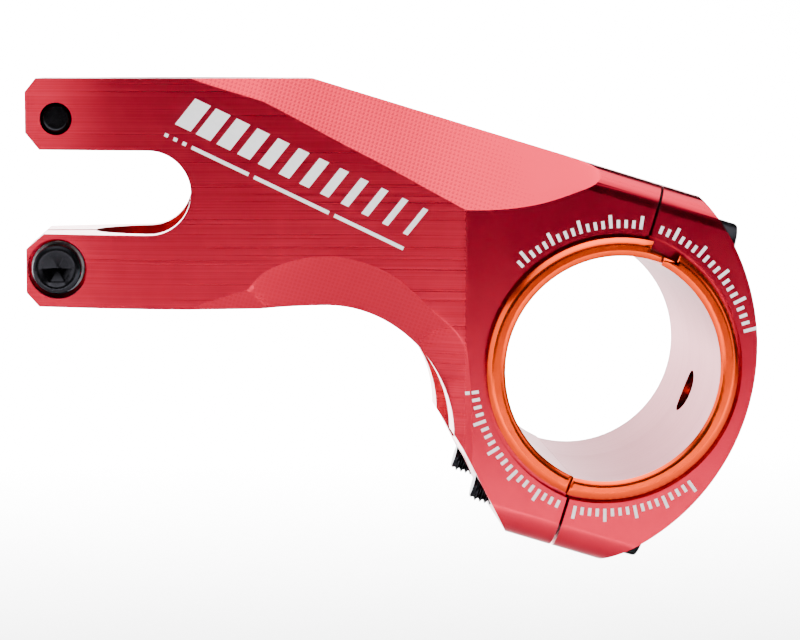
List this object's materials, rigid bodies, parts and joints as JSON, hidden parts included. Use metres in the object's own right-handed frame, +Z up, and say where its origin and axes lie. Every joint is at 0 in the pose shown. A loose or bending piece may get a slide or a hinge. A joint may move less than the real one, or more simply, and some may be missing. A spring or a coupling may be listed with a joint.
{
  "type": "handlebar stem",
  "caption": "Machined bicycle stem that clamps a steerer tube at the back and a handlebar at the front, with a bolted face plate and a split shim in the bar clamp.",
  "frame": {"origin": "on the steerer axis at the lower face of the steerer clamp, mid-width", "axes": "+Z up along the steerer, +X forward to the handlebar, +Y across the stem, along the handlebar"},
  "size_m": [0.111, 0.05, 0.0735],
  "materials": {
    "red_anodised": "fine-milled and red anodised, satin",
    "orange_anodised": "turned and orange anodised, with a bare machined bore",
    "black_bolt": "black oxide steel",
    "white_ink": null,
    "steel_washer": "plain zinc-plated steel"
  },
  "bodies": {
    "stem": {"stem_body": "red_anodised", "rear_shim": "orange_anodised"},
    "face_plate": {"face_plate": "red_anodised", "front_shim": "orange_anodised", "face_washer_upper_near": "steel_washer", "face_washer_upper_far": "steel_washer", "face_washer_lower_near": "steel_washer", "face_washer_lower_far": "steel_washer"},
    "face_bolt_upper_near": {"face_bolt_upper_near": "black_bolt"},
    "face_bolt_upper_far": {"face_bolt_upper_far": "black_bolt"},
    "face_bolt_lower_near": {"face_bolt_lower_near": "black_bolt"},
    "face_bolt_lower_far": {"face_bolt_lower_far": "black_bolt"},
    "pinch_washer_lower": {"pinch_washer_lower": "steel_washer"},
    "pinch_bolt_lower": {"pinch_bolt_lower": "black_bolt"},
    "pinch_washer_upper": {"pinch_washer_upper": "steel_washer"},
    "pinch_bolt_upper": {"pinch_bolt_upper": "black_bolt"}
  },
  "joints": [
    {"name": "face_plate_slide", "type": "slide", "parent": "stem", "child": "face_plate", "axis": [0.9563, 0, -0.2924], "range_m": [0, 0.01]},
    {"name": "face_bolt_upper_near_turn", "type": "hinge", "parent": "face_plate", "child": "face_bolt_upper_near", "pos_m": [0.07864, -0.017, 0.01051], "axis": [0.9563, 0, -0.2924], "range_deg": [0, 4500.5]},
    {"name": "face_bolt_upper_far_turn", "type": "hinge", "parent": "face_plate", "child": "face_bolt_upper_far", "pos_m": [0.07864, 0.017, 0.01051], "axis": [0.9563, 0, -0.2924], "range_deg": [0, 4500.5]},
    {"name": "face_bolt_lower_near_turn", "type": "hinge", "parent": "face_plate", "child": "face_bolt_lower_near", "pos_m": [0.06513, -0.017, -0.03368], "axis": [0.9563, 0, -0.2924], "range_deg": [0, 4500.5]},
    {"name": "face_bolt_lower_far_turn", "type": "hinge", "parent": "face_plate", "child": "face_bolt_lower_far", "pos_m": [0.06513, 0.017, -0.03368], "axis": [0.9563, 0, -0.2924], "range_deg": [0, 4500.5]},
    {"name": "pinch_bolt_lower_travel", "type": "slide", "parent": "stem", "child": "pinch_washer_lower", "axis": [0, -1, 0], "range_m": [0, 0.006]},
    {"name": "pinch_bolt_lower_turn", "type": "hinge", "parent": "pinch_washer_lower", "child": "pinch_bolt_lower", "pos_m": [-0.0198, -0.0095, 0.0059], "axis": [0, -1, 0], "range_deg": [0, 2700.5]},
    {"name": "pinch_bolt_upper_travel", "type": "slide", "parent": "stem", "child": "pinch_washer_upper", "axis": [0, 1, 0], "range_m": [0, 0.006]},
    {"name": "pinch_bolt_upper_turn", "type": "hinge", "parent": "pinch_washer_upper", "child": "pinch_bolt_upper", "pos_m": [-0.0198, 0.0095, 0.0288], "axis": [0, 1, 0], "range_deg": [0, 2700.5]}
  ],
  "couplings": [
    {"joint": "face_bolt_upper_near_turn", "follows": "face_plate_slide", "rad_per_m": 7854},
    {"joint": "face_bolt_upper_far_turn", "follows": "face_plate_slide", "rad_per_m": 7854},
    {"joint": "face_bolt_lower_near_turn", "follows": "face_plate_slide", "rad_per_m": 7854},
    {"joint": "face_bolt_lower_far_turn", "follows": "face_plate_slide", "rad_per_m": 7854},
    {"joint": "pinch_bolt_lower_turn", "follows": "pinch_bolt_lower_travel", "rad_per_m": 7854},
    {"joint": "pinch_bolt_upper_turn", "follows": "pinch_bolt_upper_travel", "rad_per_m": 7854}
  ]
}
